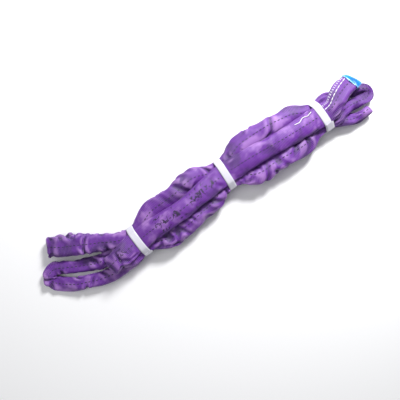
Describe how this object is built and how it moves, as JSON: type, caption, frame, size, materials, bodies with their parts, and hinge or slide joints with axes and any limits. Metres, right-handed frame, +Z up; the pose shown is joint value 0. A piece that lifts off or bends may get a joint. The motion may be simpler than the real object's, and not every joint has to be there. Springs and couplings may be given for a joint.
{
  "type": "round sling",
  "caption": "Endless polyester round sling for lifting, folded into a long bundle and held by plastic strap ties, with loose bights at both ends.",
  "frame": {"origin": "centre of the footprint, on the surface the bundle lies on", "axes": "+X along the bundle towards the labelled end, +Y across it towards the side where the label bight leans, +Z up"},
  "size_m": [0.6733, 0.132, 0.0438],
  "materials": {
    "sleeve": "woven, slightly glossy polyester",
    "core_yarn": "bright multifilament yarn",
    "marker_thread": "dark woven line",
    "join_thread": "sewing thread",
    "strapping": "smooth white strapping",
    "label": "glossy film"
  },
  "bodies": {
    "middle_tied_section": {"tie_middle": "strapping", "sleeve_centre": "sleeve", "core_centre": "core_yarn", "marker_thread_centre": "marker_thread"},
    "left_tied_section": {"tie_left": "strapping", "sleeve_left": "sleeve", "core_left": "core_yarn", "marker_thread_left": "marker_thread"},
    "right_tied_section": {"tie_right": "strapping", "sleeve_right": "sleeve", "core_right": "core_yarn", "marker_thread_right": "marker_thread", "join_thread_tail": "join_thread"},
    "left_back_bight": {"sleeve_left_back_bight": "sleeve", "core_left_back_bight": "core_yarn", "marker_thread_left_back_bight": "marker_thread"},
    "left_top_bight": {"sleeve_left_top_bight": "sleeve", "core_left_top_bight": "core_yarn", "marker_thread_left_top_bight": "marker_thread"},
    "left_front_bight": {"sleeve_left_front_bight": "sleeve", "core_left_front_bight": "core_yarn", "marker_thread_left_front_bight": "marker_thread"},
    "label_bight": {"sleeve_label_bight": "sleeve", "core_label_bight": "core_yarn", "marker_thread_label_bight": "marker_thread", "label": "label", "join_stitching": "join_thread"},
    "right_front_bight": {"sleeve_right_front_bight": "sleeve", "core_right_front_bight": "core_yarn", "marker_thread_right_front_bight": "marker_thread"},
    "right_middle_bight": {"sleeve_right_middle_bight": "sleeve", "core_right_middle_bight": "core_yarn", "marker_thread_right_middle_bight": "marker_thread"}
  },
  "joints": [
    {"name": "left_span_bend", "type": "hinge", "parent": "middle_tied_section", "child": "left_tied_section", "pos_m": [-0.0589, -0.0126, 0.02], "axis": [0, 0, 1], "range_deg": [-20, 20]},
    {"name": "right_span_bend", "type": "hinge", "parent": "middle_tied_section", "child": "right_tied_section", "pos_m": [0.1291, 0.0014, 0.02], "axis": [0, 0, 1], "range_deg": [-20, 20]},
    {"name": "left_back_bight_swing", "type": "hinge", "parent": "left_tied_section", "child": "left_back_bight", "pos_m": [-0.16858, -0.01657, 0.015], "axis": [0, 0, -1], "range_deg": [0, 18]},
    {"name": "left_front_bight_swing", "type": "hinge", "parent": "left_tied_section", "child": "left_front_bight", "pos_m": [-0.16779, -0.02352, 0.015], "axis": [0, 0, 1], "range_deg": [0, 18]},
    {"name": "left_top_bight_lift", "type": "hinge", "parent": "left_tied_section", "child": "left_top_bight", "pos_m": [-0.167, -0.03048, 0.0293], "axis": [-0.1132, 0.9936, 0], "range_deg": [0, 35]},
    {"name": "label_bight_lift", "type": "hinge", "parent": "right_tied_section", "child": "label_bight", "pos_m": [0.24057, 0.00857, 0.0293], "axis": [0.0698, -0.9976, 0], "range_deg": [0, 35]},
    {"name": "right_front_bight_swing", "type": "hinge", "parent": "right_tied_section", "child": "right_front_bight", "pos_m": [0.24155, -0.0054, 0.01], "axis": [0, 0, -1], "range_deg": [0, 15]},
    {"name": "right_middle_bight_swing", "type": "hinge", "parent": "right_tied_section", "child": "right_middle_bight", "pos_m": [0.24106, 0.00159, 0.02], "axis": [0, 0, -1], "range_deg": [0, 7.5]}
  ],
  "couplings": [
    {"joint": "right_middle_bight_swing", "follows": "right_front_bight_swing", "ratio": 0.5}
  ]
}
